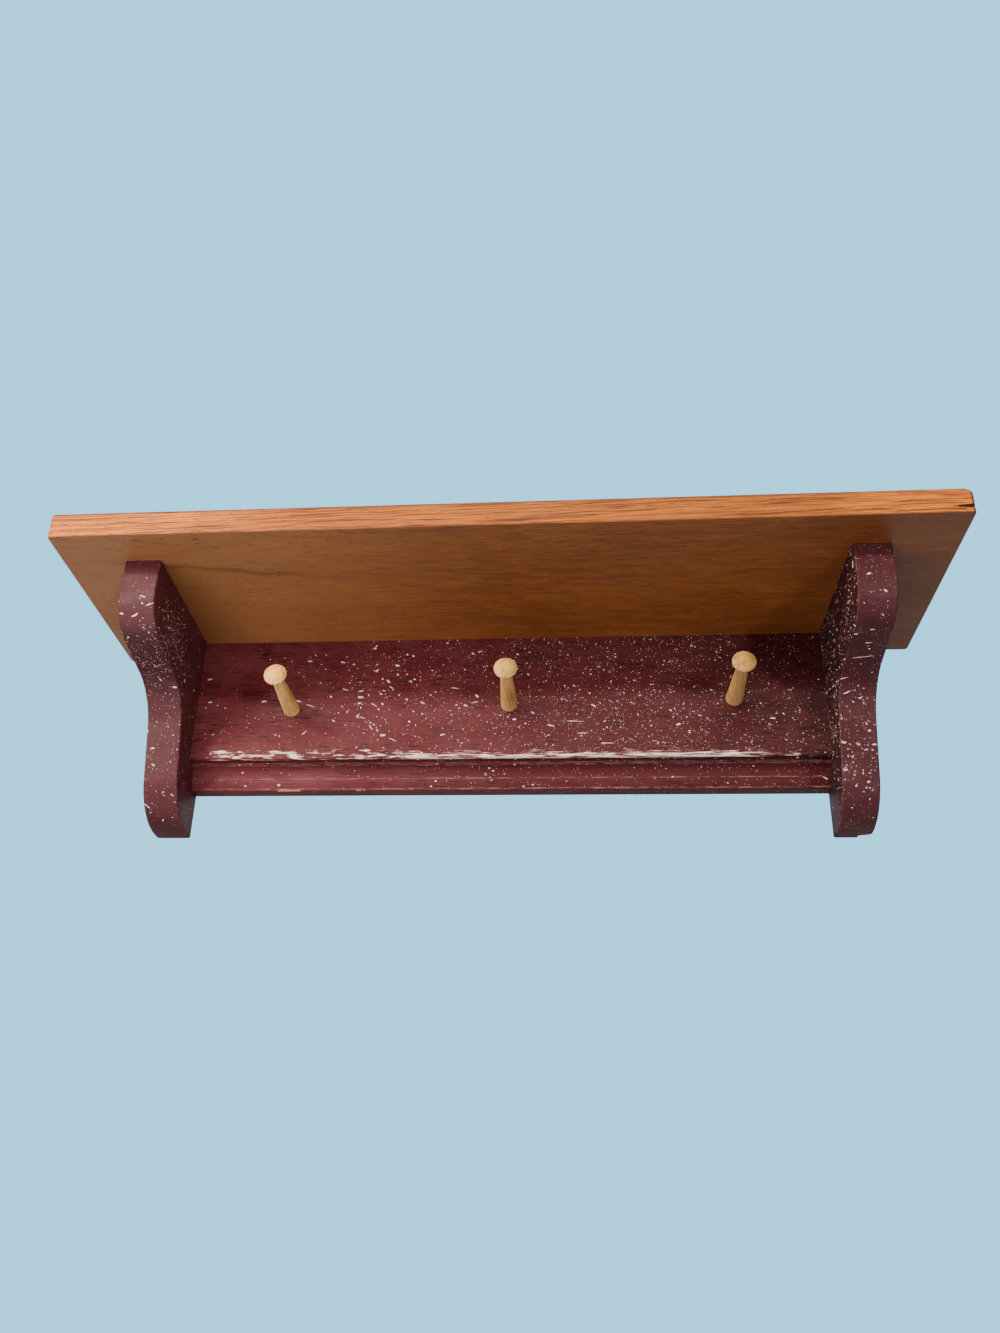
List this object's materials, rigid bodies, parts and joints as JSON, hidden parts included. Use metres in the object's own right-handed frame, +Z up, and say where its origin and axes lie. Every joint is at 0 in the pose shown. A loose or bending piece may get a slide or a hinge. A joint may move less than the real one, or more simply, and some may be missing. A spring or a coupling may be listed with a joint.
{
  "type": "wall shelf with hooks",
  "caption": "Short wooden wall shelf with a flat top, S-shaped side brackets and a moulded back board that carries a row of turned pegs.",
  "frame": {"origin": "on the wall plane, midway along the shelf, at the height of the wall screws that hold it", "axes": "+X along the shelf to the viewer's right, +Y towards the wall, +Z up"},
  "size_m": [0.45, 0.12, 0.128],
  "materials": {
    "shelf_wood": "open-grained brown hardwood with a thin clear satin finish",
    "painted_wood": "burgundy paint over wood, flecked with white and rubbed along the edges",
    "peg_wood": "pale turned hardwood, unfinished",
    "zinc_plate": "pressed steel, zinc plated",
    "zinc_screw": "zinc plated"
  },
  "bodies": {
    "root": {"top_board": "shelf_wood", "back_board": "painted_wood", "left_bracket": "painted_wood", "right_bracket": "painted_wood", "left_peg": "peg_wood", "middle_peg": "peg_wood", "right_peg": "peg_wood", "left_top_screws": "zinc_screw", "right_top_screws": "zinc_screw", "back_top_screws": "zinc_screw", "left_top_plugs": "shelf_wood", "right_top_plugs": "shelf_wood", "back_top_plugs": "shelf_wood", "left_side_screws": "zinc_screw", "right_side_screws": "zinc_screw", "left_side_plugs": "painted_wood", "right_side_plugs": "painted_wood", "left_hanger": "zinc_plate", "right_hanger": "zinc_plate", "left_hanger_screws": "zinc_screw", "right_hanger_screws": "zinc_screw"}
  },
  "joints": []
}
